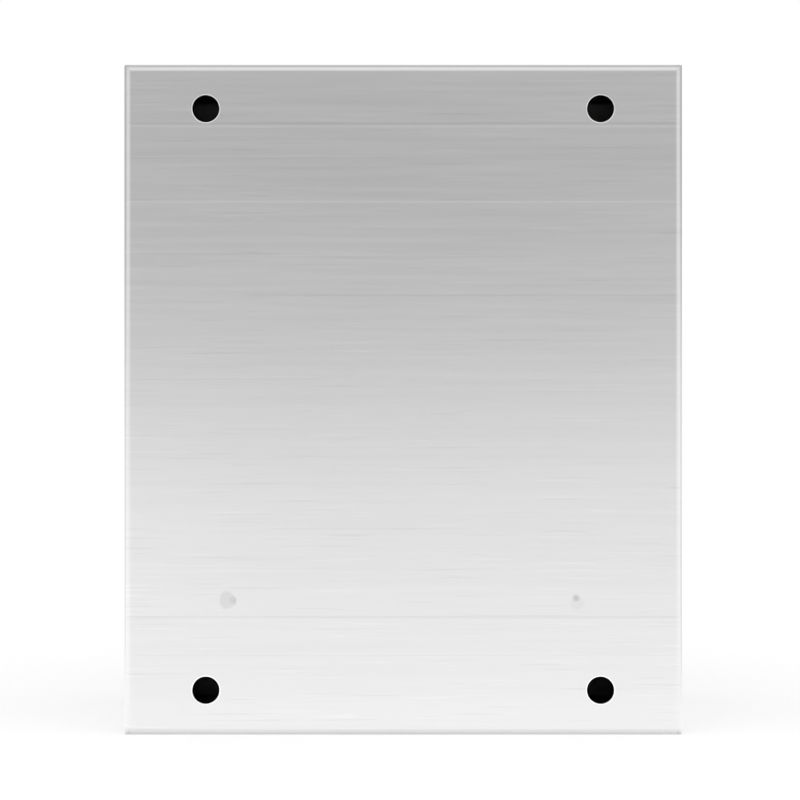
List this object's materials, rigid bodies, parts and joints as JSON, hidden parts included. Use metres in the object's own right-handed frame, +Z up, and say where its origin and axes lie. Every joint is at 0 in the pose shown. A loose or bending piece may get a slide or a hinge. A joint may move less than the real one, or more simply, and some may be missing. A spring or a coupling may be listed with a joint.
{
  "type": "stainless steel distribution box",
  "caption": "Wall-mounted folded stainless steel enclosure with a hinged, gasketed door, quarter-turn lock, mounting plate, rail, terminal bars and bottom cable entry.",
  "frame": {"origin": "centre of the wall hole pattern on the back plane of the box", "axes": "+Z up, +Y out of the back towards the wall, the door faces -Y, +X to the right seen from the front"},
  "size_m": [0.25, 0.154, 0.3],
  "materials": {
    "stainless": "brushed",
    "galvanised": "galvanised",
    "zinc_plated": "zinc plated",
    "brass": "drawn",
    "black_rubber": "matte",
    "blue_plastic": "moulded",
    "green_plastic": "moulded",
    "lock_metal": "satin chrome"
  },
  "bodies": {
    "enclosure": {"body_shell": "stainless", "plate_studs": "stainless", "mounting_plate": "galvanised", "plate_washers": "zinc_plated", "plate_nuts": "zinc_plated", "din_rail": "zinc_plated", "rail_screws": "zinc_plated", "neutral_bar": "brass", "neutral_bar_screws": "zinc_plated", "neutral_bar_supports": "blue_plastic", "earth_bar": "brass", "earth_bar_screws": "zinc_plated", "earth_bar_supports": "green_plastic", "bar_support_screws": "zinc_plated", "gland_gasket": "black_rubber", "gland_plate": "stainless", "gland_studs": "stainless", "gland_washers": "zinc_plated", "gland_nuts": "zinc_plated", "cable_grommet_left": "black_rubber", "cable_grommet_right": "black_rubber", "body_earth_stud": "stainless", "body_earth_washers": "zinc_plated", "body_earth_nuts": "brass", "hinge_frame_bracket_upper": "stainless", "hinge_frame_bracket_lower": "stainless", "hinge_pin_upper": "zinc_plated", "hinge_pin_lower": "zinc_plated", "hinge_screws": "zinc_plated", "hinge_nuts": "zinc_plated"},
    "door": {"door_panel": "stainless", "door_gasket": "black_rubber", "hinge_door_bracket_upper": "stainless", "hinge_door_bracket_lower": "stainless", "door_earth_stud": "stainless", "door_earth_washers": "zinc_plated", "door_earth_nuts": "brass", "lock_housing": "lock_metal", "lock_seal": "black_rubber", "lock_washer": "zinc_plated", "lock_nut": "zinc_plated"},
    "lock": {"lock_core": "lock_metal", "lock_cam": "zinc_plated", "cam_screw": "zinc_plated"}
  },
  "joints": [
    {"name": "door_hinge", "type": "hinge", "parent": "enclosure", "child": "door", "pos_m": [-0.119, -0.141, 0], "axis": [0, 0, -1], "range_deg": [0, 120]},
    {"name": "lock_turn", "type": "hinge", "parent": "door", "child": "lock", "pos_m": [0.079, -0.141, 0], "axis": [0, -1, 0], "range_deg": [0, 90]}
  ]
}
